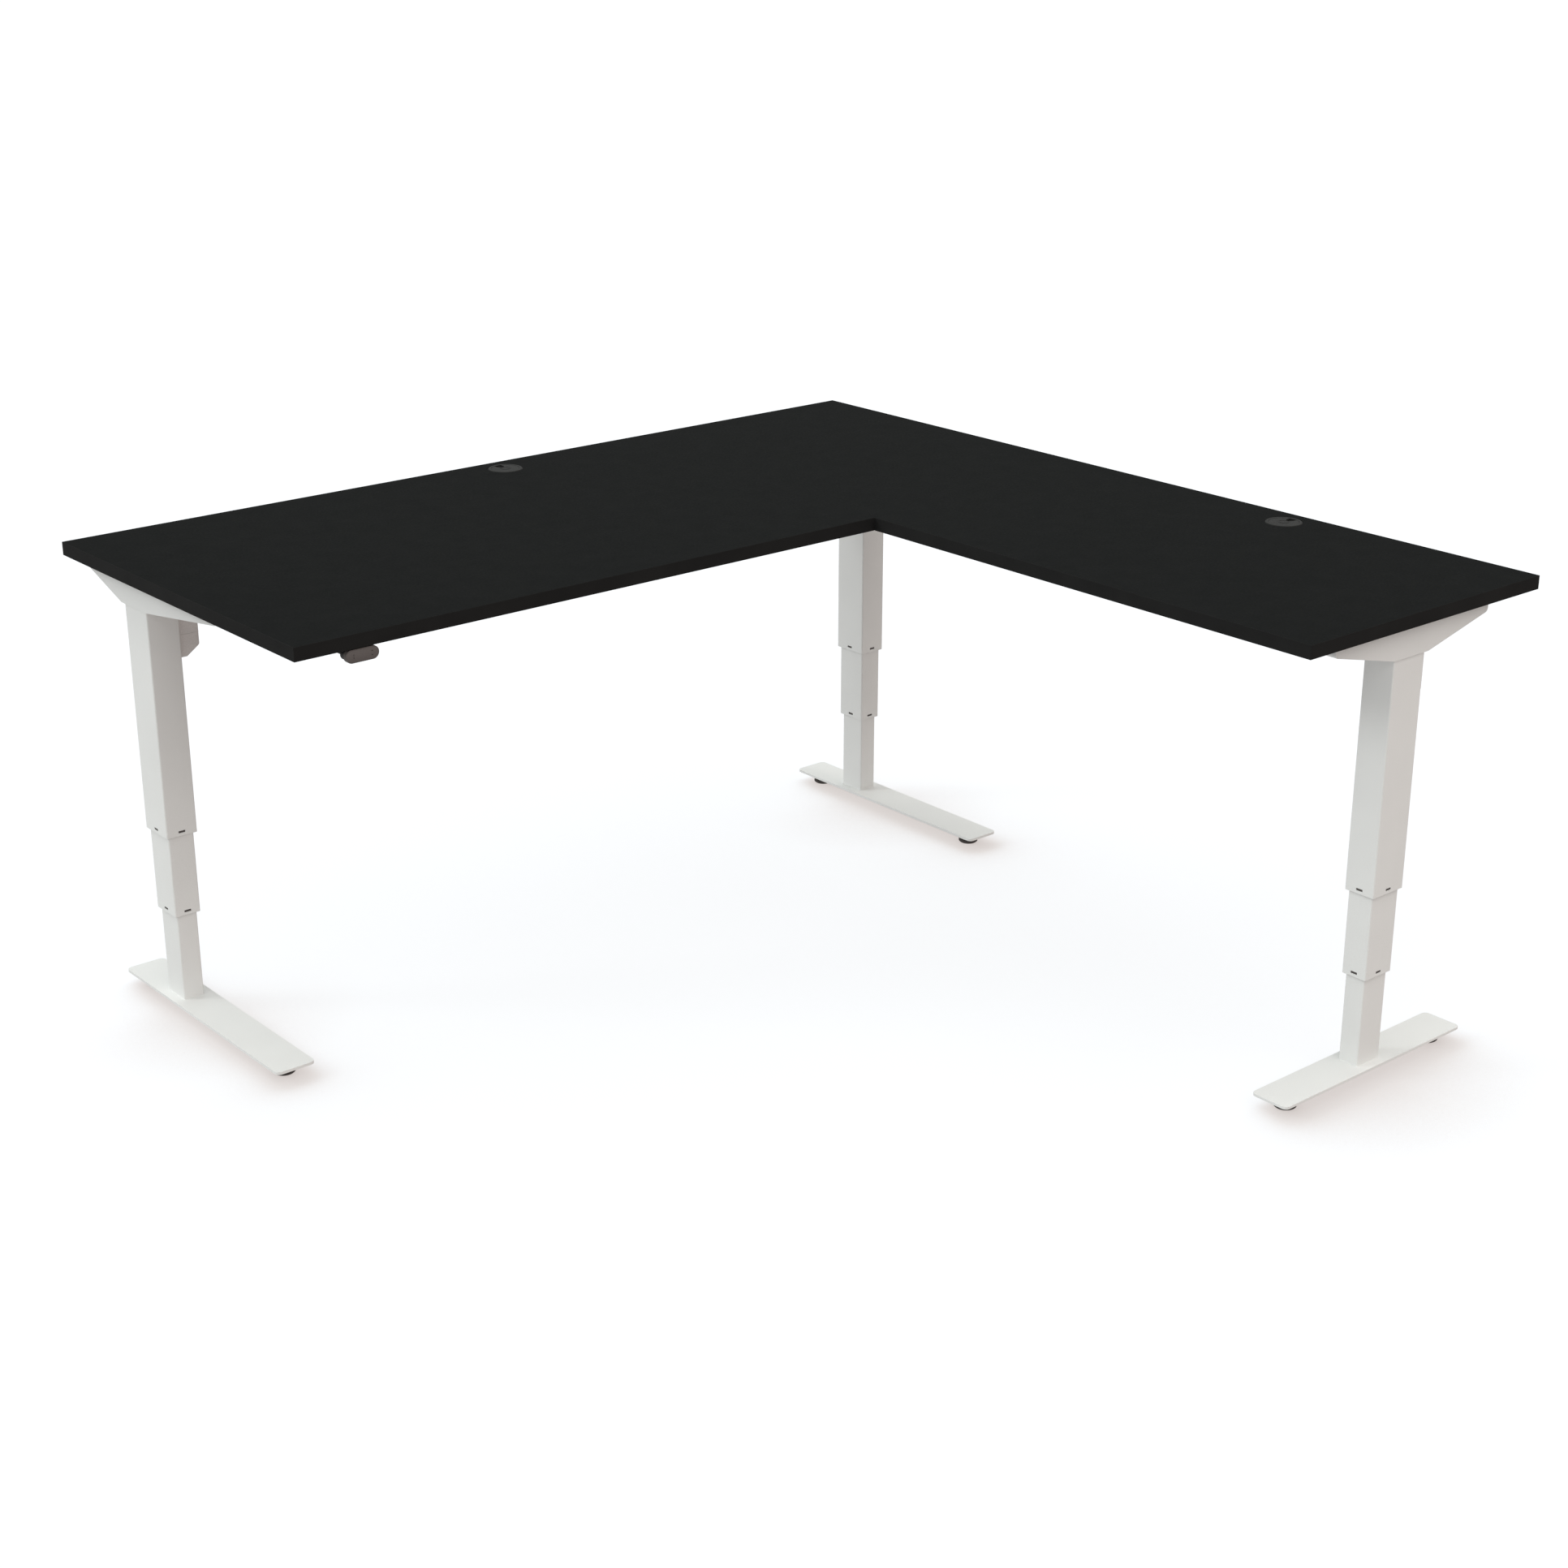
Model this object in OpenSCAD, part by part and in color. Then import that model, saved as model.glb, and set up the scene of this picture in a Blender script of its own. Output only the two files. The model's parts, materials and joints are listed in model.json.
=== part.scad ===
// Height adjustable L-shaped standing desk on three telescopic columns.
// +X runs along the main worktop, +Y towards the wall behind it, +Z up.
// The origin is on the floor below the centre of the worktop's bounding square.

/* [Worktop] */
// Overall length of the main worktop along X
desk_w = 1800; // [1600:10:2000]
// Overall length of the return along Y
desk_l = 1800; // [1600:10:2000]
// Depth of the main worktop
main_d = 800; // [700:10:900]
// Depth of the return worktop
return_d = 600; // [600:10:800]
// Thickness of the worktop
top_t = 24; // [18:1:30]
// Height of the worktop's upper face above the floor as drawn
desk_h = 855; // [800:1:900]
// Thickness of the edge banding
band_t = 1; // [0.8:0.1:2]

/* [Cable grommets] */
// Radius of the bore through the worktop
grommet_bore_r = 30; // [30:1:40]
// Radius of the flange that covers the bore's rim
grommet_flange_r = 34; // [34:1:46]
// Distance from the wall side edge to the grommet's centre
grommet_inset = 57; // [50:1:90]

/* [Columns] */
// Wide side of the upper tube
tube_w = 80; // [80:1:90]
// Narrow side of the upper tube
tube_d = 60; // [60:1:70]
// How much narrower each tube is than the tube around it
tube_step = 10; // [9:0.5:11]
// Wall of each tube
wall = 2; // [1.5:0.1:2.2]
// Corner radius of the tubes
tube_r = 3; // [2.5:0.5:5]
// Distance of the two rear columns from the worktop's ends
end_inset = 72; // [60:1:120]
// Distance of the two rear columns from the wall side edge
rear_inset = 178; // [170:1:200]
// Distance of the return column from the return's front end
front_inset = 62; // [55:1:90]

/* [Feet] */
// Length of a rear foot in front of its column
foot_front = 397; // [350:1:420]
// Length of a rear foot behind its column
foot_rear = 164; // [140:1:170]
// Half length of the return's foot
foot_half = 241; // [220:1:260]
// Width of a foot
foot_w = 76; // [70:1:90]
// Thickness of the foot's top plate
foot_plate_t = 5; // [4:0.5:6]

/* [Handset] */
// Width of the handset
handset_w = 60; // [50:1:70]
// Height of the handset
handset_h = 22; // [20:1:28]
// Distance of the handset's middle from the left end of the worktop
handset_x = 122; // [80:1:400]

/* [Hidden] */

$fn = 64;
eps = 0.01;

// Colours
board_black = [0.14, 0.145, 0.14];
frame_white = [0.90, 0.90, 0.89];
plastic_black = [0.12, 0.12, 0.12];
grommet_grey = [0.29, 0.285, 0.28];
handset_grey = [0.34, 0.31, 0.30];
steel = [0.62, 0.63, 0.65];
board_green = [0.10, 0.35, 0.20];
brass = [0.72, 0.60, 0.30];

// How far a cutting shape runs past the face it cuts
cut = 1;

// Levels above the floor
board_low = desk_h - top_t;
foot_top = 26;
foot_low = 12;
low_tube_top = 543;
mid_tube_low = 192;
mid_tube_top = 674;
top_tube_low = 347;
top_tube_top = 797;
case_low = 798;
case_h = 29;
bracket_low = desk_h - 87;
cover_low = desk_h - 184;

// Plan positions of the columns and the worktop's notch
left_x = end_inset - desk_w / 2;
corner_x = desk_w / 2 - end_inset;
rear_y = desk_l / 2 - rear_inset;
return_x = desk_w / 2 - return_d / 2;
return_y = front_inset - desk_l / 2;
notch_x = desk_w / 2 - return_d;
notch_y = desk_l / 2 - main_d;

// Tube family: each level is one step narrower than the one above
function tube_size(level) = [tube_d - level * tube_step, tube_w - level * tube_step];

// Grommet: a flanged sleeve let into the worktop by its rebate, and a lid on the sleeve's ledge
flange_t = 2;
flange_lip = 0.4;
flange_bevel = 1.5;
rebate = 1;
rebate_gap = 0.2;
sleeve_r = grommet_bore_r - 0.2;
sleeve_wall = 1.8;
sleeve_short = 2;
ledge_z = -1;
ledge_w = 2;
lid_t = 2.4;
lid_gap = 0.3;
notch_w = 15;
notch_in = 17;

// Side bracket: a folded channel over the column's head
bracket_half = 34;
bracket_sheet = 2.5;
bracket_flat = 44;
bracket_end = 27;
bracket_front = 300;
bracket_rear = 158;
bracket_return = 201;
bracket_nose_r = 8;
web_gap = 0.6;

// Cross rails on both sides of each gear case
rail_w = 20;
rail_h = 40;
rail_wall = 2;
rail_off = 50;
return_rail_off = 100;
rail_top = board_low - 2;
rail_end_t = 4;
rail_bolt_down = [11, 29];
bolt_r = 3;
bolt_hole_r = 3.2;
bolt_head_r = 5;
bolt_head_h = 3;
bolt_past = 3;

// Plate that ties the return's rails to the main rails
plate_t = 4;
plate_r = 10;
plate_back = 2 * rail_off + rail_w;
plate_front = 90;
plate_hole_y = [-70, -20, 10];
plate_holes = [for (s = [-1, 1], y = plate_hole_y) [s * return_rail_off, y]];

// Motor and its cover beside the column
cover_x = 72;
cover_y = [-30, 4];
cover_wall = 2;
cover_chamfer_x = 45;
cover_chamfer_z = 19;
cover_r = 6;
motor_at = [51, -13];
motor_r = 14.6;
motor_up = 26;
motor_tail_r = 6;
motor_tail_up = 20;
return_drive_shift = [(tube_w - tube_d) / 2, -1.5];

// Gear case with its driven wheel and the motor's pinion
case_wall = 3;
case_half = [28, 30];
case_nose_x = 67.5;
case_nose_y = [-27.5, 1.5];
case_hole_gap = 0.2;
gear_r = 24;
gear_h = 12;
gear_hub_r = 10;
gear_hub_h = 6;
shaft_r = 4;
pinion_r = 10;

// Telescopic screw
spindle_r = 6;
spindle_low = 378;
screw_tube_r = 11;
screw_tube_low = 272;
screw_collar_r = 14;
running_gap = 0.05;
collar_h = 4;
bore_gap = 2;
neck_h = 24;
tip_r = 4;
tip_h = 3;
cap_t = 12;
cap_r = 2;
nut_h = 18;

// Guide pads and the windows that hold their clips
slide_gap = 0.3;
window_w = 13;
window_h = 4;
window_up = 5.6;
clip_gap = 0.2;
clip_sunk = 0.5;
pad_h = 34;
pad_up = 3;
pad_down = 2;
pad_w = 26;

// Glides
glide_r = 20;
glide_h = 10;
glide_bevel = 2;
glide_rim = 6;
stem_r = 4;
stem_top = 21;
glide_inset = 45;
channel_w = 46;
channel_wall = 2.5;
channel_inset = 30;
foot_corner_r = 10;
channel_r = 4;
boss_r = 9;
stem_up = 2.5;
stem_room = 1;
front_glide_y = glide_inset - foot_front;
rear_glide_y = foot_rear - glide_inset;
half_glide_y = foot_half - glide_inset;

// Control box
box_c = [60, 470];
box_size = [250, 110, 34];
box_wall = 2.5;
box_cover_t = 3;
box_r = [5, 3, 6];
box_ear = 24;
socket_pitch = 38;
socket_size = [18, 13, 12];
socket_mouth = [13, 11, 7];
socket_in = 12;
socket_back = 3;

// Circuit board of the control box, on four posts
board_margin = [14, 34];
board_shift = -6;
board_t = 1.6;
post_at = [105, 30];
post_r = 3;
post_h = 3;
coil_size = [46, 40, 16];
coil_x = 80;
capacitor_r = 7;
capacitor_h = 18;
capacitor_pitch = 30;

// Handset
handset_pos_x = handset_x - desk_w / 2;
handset_face_y = notch_y + 2;
handset_gap = 1.8;
handset_top = board_low - handset_gap;
handset_mid = handset_top - handset_h / 2;
paddle_d = 9;
paddle_gap = 1.5;
handset_d = 62;
housing_side = 4;
housing_step = 2;
housing_front = 11;
housing_sheet = 3;
pocket_side = 12;
pocket_skin = 5;
pocket_d = 8;
hinge_back = 15;
pin_r = 1.5;
pin_short = 16;
lug_w = 12;
lug_r = 3;
handset_screw = [20, 48];

// Screws into the worktop: plan positions and sizes
screw_r = 2.4;
pilot_r = 2.6;
screw_head_r = 4.8;
screw_head_h = 2.6;
head_gap = 0.4;
screw_in = 14;
bracket_screw_x = 20;
rear_screw_y = [-265, -130, 128];
return_screw_y = [-168, -100, 100, 168];
box_screw = [box_size[0] / 2 + box_ear / 2, box_size[1] / 2 - 15];
box_screws = [
    for (sx = [-1, 1], sy = [-1, 1]) [box_c[0] + sx * box_screw[0], box_c[1] + sy * box_screw[1]]
];
handset_screws = [
    for (s = [-1, 1]) [handset_pos_x + s * handset_screw[0], handset_face_y + handset_screw[1]]
];

// ---------- placing ----------
module at_left() { translate([left_x, rear_y, 0]) children(); }
module at_corner() { translate([corner_x, rear_y, 0]) mirror([1, 0, 0]) children(); }
module at_return() { translate([return_x, return_y, 0]) rotate([0, 0, 90]) children(); }
// The return's drive sits on its column's narrow side, under the worktop
module at_return_drive() { translate([return_x, return_y, 0]) mirror([0, 1, 0]) children(); }
module at_all() {
    at_left() children();
    at_corner() children();
    at_return() children();
}

// ---------- plain shapes ----------
module rounded_rect(size, r) {
    square([size[0] - 2 * r, size[1]], center = true);
    square([size[0], size[1] - 2 * r], center = true);
    for (sx = [-1, 1], sy = [-1, 1])
        translate([sx * (size[0] / 2 - r), sy * (size[1] / 2 - r)]) circle(r);
}

module stadium(w, h) {
    square([w - h, h], center = true);
    for (s = [-1, 1]) translate([s * (w - h) / 2, 0]) circle(d = h);
}

// Block of the given size on the floor plane, centred in plan
module block(size) {
    translate([-size[0] / 2, -size[1] / 2, 0]) cube(size);
}

// ---------- worktop ----------
module worktop_plan(inset) {
    x0 = -desk_w / 2 + inset;
    x1 = desk_w / 2 - inset;
    y0 = -desk_l / 2 + inset;
    y1 = desk_l / 2 - inset;
    polygon([
        [x0, notch_y + inset], [notch_x + inset, notch_y + inset], [notch_x + inset, y0],
        [x1, y0], [x1, y1], [x0, y1]
    ]);
}

// Each grommet is placed by the floor of its rebate
module at_main_grommet() { translate([0, desk_l / 2 - grommet_inset, desk_h - rebate]) children(); }
module at_return_grommet() {
    translate([desk_w / 2 - grommet_inset, (notch_y - desk_l / 2) / 2, desk_h - rebate])
        rotate([0, 0, -90]) children();
}

// Bore through the worktop with the shallow rebate round its rim
module grommet_hole() {
    translate([0, 0, -top_t]) cylinder(r = grommet_bore_r, h = top_t + cut);
    cylinder(r = grommet_flange_r + rebate_gap, h = rebate + cut, $fn = 96);
}

// Runs its children at every screw that enters the worktop from below
module at_bracket_screws(rows) {
    for (s = [-1, 1], y = rows) translate([s * bracket_screw_x, y, board_low]) children();
}
module at_worktop_screws() {
    at_left() at_bracket_screws(rear_screw_y) children();
    at_corner() at_bracket_screws(rear_screw_y) children();
    at_return() at_bracket_screws(return_screw_y) children();
    for (p = box_screws) translate([p[0], p[1], board_low]) children();
    for (p = handset_screws) translate([p[0], p[1], board_low]) children();
}

module worktop() {
    color(board_black) difference() {
        translate([0, 0, board_low]) linear_extrude(top_t) worktop_plan(band_t);
        at_main_grommet() grommet_hole();
        at_return_grommet() grommet_hole();
        at_worktop_screws() translate([0, 0, -cut])
            cylinder(r = pilot_r, h = screw_in + 2 * cut, $fn = 24);
    }
}

module edge_band() {
    color(board_black) translate([0, 0, board_low]) linear_extrude(top_t) difference() {
        worktop_plan(0);
        worktop_plan(band_t);
    }
}

// ---------- cable grommets ----------
module grommet_sleeve() {
    inner_r = sleeve_r - sleeve_wall;
    low = rebate - top_t + sleeve_short;
    rotate_extrude($fn = 96) polygon([
        [inner_r - ledge_w, ledge_z - ledge_w], [inner_r - ledge_w, ledge_z],
        [inner_r, ledge_z], [inner_r, flange_t],
        [grommet_flange_r - flange_bevel, flange_t], [grommet_flange_r, flange_lip],
        [grommet_flange_r, 0], [sleeve_r, 0], [sleeve_r, low], [inner_r, low],
        [inner_r, ledge_z - ledge_w]
    ]);
}

// The lid turns in the sleeve; its notch lets cables through on the wall side
module grommet_lid() {
    lid_r = sleeve_r - sleeve_wall - lid_gap;
    difference() {
        translate([0, 0, ledge_z + lid_gap]) cylinder(r = lid_r, h = lid_t, $fn = 96);
        translate([0, lid_r - notch_in + notch_w / 2, ledge_z]) {
            cylinder(d = notch_w, h = 2 * lid_t);
            translate([-notch_w / 2, 0, 0]) cube([notch_w, notch_in, 2 * lid_t]);
        }
    }
}

module main_grommet_sleeve() { color(grommet_grey) at_main_grommet() grommet_sleeve(); }
module return_grommet_sleeve() { color(grommet_grey) at_return_grommet() grommet_sleeve(); }
module main_grommet_lid() { color(grommet_grey) at_main_grommet() grommet_lid(); }
module return_grommet_lid() { color(grommet_grey) at_return_grommet() grommet_lid(); }

// ---------- side brackets ----------
function arc(c, r, a0, a1, n = 8) =
    [for (i = [0:n]) [c[0] + r * cos(a0 + (a1 - a0) * i / n), c[1] + r * sin(a0 + (a1 - a0) * i / n)]];

// Side view of a bracket: deepest at the column and shallow at both rounded ends
module bracket_side(front, rear) {
    top = board_low;
    nose = top - bracket_end + bracket_nose_r;
    polygon(concat(
        [[-front, top]],
        arc([-front + bracket_nose_r, nose], bracket_nose_r, 180, 255),
        [[-bracket_flat, bracket_low], [bracket_flat, bracket_low]],
        arc([rear - bracket_nose_r, nose], bracket_nose_r, 285, 360),
        [[rear, top]]
    ));
}

// Extrudes a side view drawn in (Y, Z) across X, from x0 over a width w
module across(x0, w) {
    translate([x0, 0, 0]) rotate([90, 0, 90]) linear_extrude(w) children();
}

module bracket(front, rear, screws, rail_y) {
    inner = bracket_half - bracket_sheet;
    nose_low = board_low - bracket_end - cut;
    difference() {
        across(-bracket_half, 2 * bracket_half) bracket_side(front, rear);
        // the channel's hollow, closed at both ends by the folded noses
        difference() {
            translate([-inner, -front + bracket_sheet, 0])
                cube([2 * inner, front + rear - 2 * bracket_sheet, board_low - bracket_sheet]);
            for (y = [-front, rear]) translate([-inner, y - bracket_nose_r / 2, nose_low])
                cube([2 * inner, bracket_nose_r, bracket_end]);
        }
        for (s = [-1, 1], y = screws) translate([s * bracket_screw_x, y, board_low - bracket_sheet - cut])
            cylinder(r = pilot_r, h = bracket_sheet + 2 * cut, $fn = 24);
        at_rail_bolts(rail_y) cylinder(r = bolt_hole_r, h = bracket_sheet + 2 * cut, $fn = 24);
    }
}

// A rear bracket has a way through its inner web for the motor cover
module rear_bracket() {
    difference() {
        bracket(bracket_front, bracket_rear, rear_screw_y, rail_off);
        translate([bracket_half - bracket_sheet - cut, cover_y[0] - web_gap, bracket_low - cut]) cube([
            bracket_sheet + 2 * cut,
            cover_y[1] - cover_y[0] + 2 * web_gap,
            board_low - bracket_sheet - bracket_low + cut
        ]);
    }
}

module left_bracket() { color(frame_white) at_left() rear_bracket(); }
module corner_bracket() { color(frame_white) at_corner() rear_bracket(); }
module return_bracket() {
    color(frame_white) at_return()
        bracket(bracket_return, bracket_return, return_screw_y, return_rail_off);
}

// ---------- rails and their bolts ----------
// Runs its children at the bolt axes through a bracket's inner web, pointing away from the column
module at_rail_bolts(off) {
    for (y = [-off, off], down = rail_bolt_down)
        translate([bracket_half - bracket_sheet - cut, y, rail_top - down]) rotate([0, 90, 0]) children();
}

// Rectangular tube along X from x0 to x1 with end plates drilled for two bolts
module rail(x0, x1) {
    low = rail_top - rail_h;
    difference() {
        translate([x0, -rail_w / 2, low]) cube([x1 - x0, rail_w, rail_h]);
        translate([x0 + rail_end_t, -rail_w / 2 + rail_wall, low + rail_wall])
            cube([x1 - x0 - 2 * rail_end_t, rail_w - 2 * rail_wall, rail_h - 2 * rail_wall]);
        for (x = [x0, x1], down = rail_bolt_down) translate([x, 0, rail_top - down])
            rotate([0, 90, 0]) cylinder(r = bolt_hole_r, h = 3 * rail_end_t, center = true, $fn = 24);
    }
}

module main_rails() {
    color(frame_white) for (s = [-1, 1]) translate([0, rear_y + s * rail_off, 0])
        rail(left_x + bracket_half, corner_x - bracket_half);
}

module return_rails() {
    y0 = return_y + bracket_half;
    y1 = rear_y - rail_off - rail_w / 2;
    color(frame_white) for (s = [-1, 1]) translate([return_x + s * return_rail_off, 0, 0])
        rotate([0, 0, 90]) rail(y0, y1);
}

// The plate lies against the undersides of all four rails
module rail_joint_plate() {
    y0 = rear_y - rail_off - rail_w / 2;
    color(frame_white) translate([return_x, y0, rail_top - rail_h - plate_t]) difference() {
        translate([0, (plate_back - plate_front) / 2, 0]) linear_extrude(plate_t)
            rounded_rect([2 * return_rail_off + 3 * rail_w, plate_back + plate_front], plate_r);
        for (p = plate_holes) translate([p[0], p[1], -cut])
            cylinder(r = bolt_hole_r, h = plate_t + 2 * cut, $fn = 24);
    }
}

module bolt(len) {
    cylinder(r = bolt_head_r, h = bolt_head_h, $fn = 32);
    cylinder(r = bolt_r, h = bolt_head_h + len, $fn = 32);
}

module rail_bolt() { translate([0, 0, cut - bolt_head_h]) bolt(bracket_sheet + rail_end_t + bolt_past); }

// Bolts through each bracket's web into a rail, heads inside the bracket
module frame_bolts() {
    color(steel) {
        at_left() at_rail_bolts(rail_off) rail_bolt();
        at_corner() at_rail_bolts(rail_off) rail_bolt();
        at_return() at_rail_bolts(return_rail_off) rail_bolt();
        translate([return_x, rear_y - rail_off - rail_w / 2, rail_top - rail_h - plate_t])
            for (p = plate_holes) translate([p[0], p[1], -bolt_head_h]) bolt(plate_t - rebate_gap);
    }
}

module worktop_screw(sheet) {
    translate([0, 0, -sheet - screw_head_h]) cylinder(r = screw_head_r, h = screw_head_h, $fn = 32);
    translate([0, 0, -sheet - eps]) cylinder(r = screw_r, h = sheet + screw_in, $fn = 24);
}

module worktop_screws() {
    color(steel) {
        at_left() at_bracket_screws(rear_screw_y) worktop_screw(bracket_sheet);
        at_corner() at_bracket_screws(rear_screw_y) worktop_screw(bracket_sheet);
        at_return() at_bracket_screws(return_screw_y) worktop_screw(bracket_sheet);
        for (p = box_screws) translate([p[0], p[1], board_low]) worktop_screw(box_cover_t);
        for (p = handset_screws) translate([p[0], p[1], board_low]) worktop_screw(housing_sheet);
    }
}

// ---------- control box ----------
// The cover is the flanged lid against the worktop; the box hangs below it
module at_box() { translate([box_c[0], box_c[1], board_low]) children(); }

module control_box_cover() {
    color(plastic_black) at_box() difference() {
        translate([0, 0, -box_cover_t]) linear_extrude(box_cover_t)
            rounded_rect([box_size[0] + 2 * box_ear, box_size[1]], box_r[2]);
        for (p = box_screws) translate([p[0] - box_c[0], p[1] - box_c[1], -box_cover_t - cut])
            cylinder(r = pilot_r, h = box_cover_t + 2 * cut, $fn = 24);
    }
}

module control_box() {
    inner = [box_size[0] - 2 * box_wall, box_size[1] - 2 * box_wall];
    color(plastic_black) at_box() difference() {
        translate([0, 0, -box_cover_t - box_size[2]]) linear_extrude(box_size[2])
            rounded_rect([box_size[0], box_size[1]], box_r[0]);
        translate([0, 0, -box_cover_t - box_size[2] + box_wall]) linear_extrude(box_size[2])
            rounded_rect(inner, box_r[1]);
        at_sockets() socket_body(running_gap);
    }
}

module at_sockets() {
    for (i = [-2:2]) translate([i * socket_pitch, box_size[1] / 2, -box_cover_t - box_size[2] / 2])
        children();
}

// A rectangular plug socket flush in the box's rear wall, oversize by grow
module socket_body(grow) {
    translate([-socket_size[0] / 2 - grow, -socket_in, -socket_size[2] / 2 - grow])
        cube([socket_size[0] + 2 * grow, socket_size[1], socket_size[2] + 2 * grow]);
}

module control_sockets() {
    color([0.75, 0.75, 0.72]) at_box() at_sockets() difference() {
        socket_body(0);
        translate([-socket_mouth[0] / 2, socket_back - socket_in, -socket_mouth[2] / 2]) cube(socket_mouth);
    }
}

module control_board() {
    color(board_green) at_box() translate([0, board_shift, box_wall - box_cover_t - box_size[2]]) {
        for (sx = [-1, 1], sy = [-1, 1])
            translate([sx * post_at[0], sy * post_at[1], 0]) cylinder(r = post_r, h = post_h, $fn = 24);
        translate([0, 0, post_h]) {
            block([box_size[0] - board_margin[0], box_size[1] - board_margin[1], board_t]);
            for (s = [-1, 1]) translate([s * coil_x, 0, board_t]) block(coil_size);
            for (i = [-1:1]) translate([i * capacitor_pitch, 0, board_t])
                cylinder(r = capacitor_r, h = capacitor_h, $fn = 32);
        }
    }
}

// ---------- handset ----------
module at_handset() { translate([handset_pos_x, handset_face_y, handset_mid]) children(); }

// Stadium section swept from y0 over depth d towards the wall
module handset_slice(w, h, y0, d) {
    translate([0, y0 + d, 0]) rotate([90, 0, 0]) linear_extrude(d) stadium(w, h);
}

// Pill-shaped front block on a flat foot that is screwed up into the worktop
module handset_housing() {
    back = paddle_d + paddle_gap;
    up = handset_h / 2 + handset_gap;
    foot_size = [handset_w - 2 * housing_side, handset_d - back - housing_side, up];
    pocket = [handset_w - 2 * pocket_side, pocket_d + cut, handset_h - 2 * pocket_skin];
    color(plastic_black) at_handset() difference() {
        union() {
            handset_slice(handset_w - 2 * housing_step, handset_h - 2 * housing_step, back, housing_front);
            translate([-foot_size[0] / 2, back + housing_side, 0]) cube(foot_size);
        }
        // pocket for the paddle's lug and its switches
        translate([-pocket[0] / 2, back - cut, -pocket[2] / 2]) cube(pocket);
        translate([0, hinge_back, 0]) rotate([0, 90, 0])
            cylinder(r = pin_r, h = handset_w - pin_short + 2 * cut, center = true, $fn = 32);
        for (s = [-1, 1]) translate([s * handset_screw[0], handset_screw[1], -cut]) {
            cylinder(r = screw_head_r + head_gap, h = up - housing_sheet + cut, $fn = 32);
            cylinder(r = pilot_r, h = up + 2 * cut, $fn = 24);
        }
    }
}

// The paddle tilts up and down on its pin
module handset_paddle() {
    color(handset_grey) at_handset() difference() {
        union() {
            handset_slice(handset_w, handset_h, 0, paddle_d);
            translate([-lug_w, paddle_d - eps, -lug_r]) cube([2 * lug_w, hinge_back - paddle_d, 2 * lug_r]);
            translate([-lug_w, hinge_back, 0]) rotate([0, 90, 0])
                cylinder(r = lug_r, h = 2 * lug_w, $fn = 32);
        }
        translate([-lug_w - cut, hinge_back, 0]) rotate([0, 90, 0])
            cylinder(r = pin_r + running_gap, h = 2 * lug_w + 2 * cut, $fn = 32);
    }
}

module handset_pin() {
    color(steel) at_handset() translate([0, hinge_back, 0]) rotate([0, 90, 0])
        cylinder(r = pin_r, h = handset_w - pin_short, center = true, $fn = 32);
}

// ---------- columns ----------
module tube(level, z0, z1) {
    size = tube_size(level);
    translate([0, 0, z0]) linear_extrude(z1 - z0) difference() {
        rounded_rect(size, tube_r);
        rounded_rect([size[0] - 2 * wall, size[1] - 2 * wall], tube_r - wall);
    }
}

// Clip windows through all four walls near a tube's lower end
module windows(level, z0) {
    size = tube_size(level);
    translate([0, 0, z0 + window_up]) {
        block([size[0] + 2, window_w, window_h]);
        block([window_w, size[1] + 2, window_h]);
    }
}

module top_tube() {
    difference() {
        tube(0, top_tube_low, top_tube_top);
        windows(0, top_tube_low);
    }
}

// The mid tube carries a cap with the bearing of the screw tube
module mid_tube() {
    size = tube_size(1);
    difference() {
        union() {
            tube(1, mid_tube_low, mid_tube_top);
            translate([0, 0, mid_tube_top - cap_t]) linear_extrude(cap_t)
                rounded_rect([size[0] - wall, size[1] - wall], cap_r);
        }
        windows(1, mid_tube_low);
        translate([0, 0, mid_tube_top - cap_t - cut])
            cylinder(r = screw_tube_r + running_gap, h = cap_t + 2 * cut);
    }
}

module low_tube() { tube(2, foot_top, low_tube_top); }

// Four pads lining a tube: inner faces at half sizes a, outer faces at half sizes b
module pad_ring(a, b, z0) {
    for (s = [-1, 1]) {
        translate([s * (a[0] + b[0]) / 2, 0, z0]) block([b[0] - a[0], pad_w, pad_h]);
        translate([0, s * (a[1] + b[1]) / 2, z0]) block([pad_w, b[1] - a[1], pad_h]);
    }
}

// Pads with clips that reach into the windows of the tube of this level
module clip_pads(level, z0) {
    outer = tube_size(level) / 2;
    inner = tube_size(level + 1) / 2;
    clip = [window_w - 2 * clip_gap, window_h - 2 * clip_gap];
    clip_at = outer - [clip_sunk + wall / 2, clip_sunk + wall / 2];
    pad_ring(inner + [slide_gap, slide_gap], outer - [wall, wall], z0 + pad_up);
    translate([0, 0, z0 + window_up + clip_gap]) for (s = [-1, 1]) {
        translate([s * clip_at[0], 0, 0]) block([wall, clip[0], clip[1]]);
        translate([0, s * clip_at[1], 0]) block([clip[0], wall, clip[1]]);
    }
}

module upper_guide_pads() { color(plastic_black) at_all() clip_pads(0, top_tube_low); }

// Pads clipped in the mid tube's lower end, and pads round its upper end
module mid_pads() {
    outer = tube_size(0) / 2 - [wall + slide_gap, wall + slide_gap];
    clip_pads(1, mid_tube_low);
    pad_ring(tube_size(1) / 2, outer, mid_tube_top - pad_h - pad_down);
}

// ---------- drive ----------
// Cast case over the column's head, with a nose that reaches over the motor
module case_shape(inset, h, shift) {
    linear_extrude(h) {
        translate([-case_half[0] + inset, -case_half[1] + inset])
            square([2 * (case_half[0] - inset), 2 * (case_half[1] - inset)]);
        translate([0, case_nose_y[0] + shift[1] + inset])
            square([case_nose_x + shift[0] - inset, case_nose_y[1] - case_nose_y[0] - 2 * inset]);
    }
}

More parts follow.
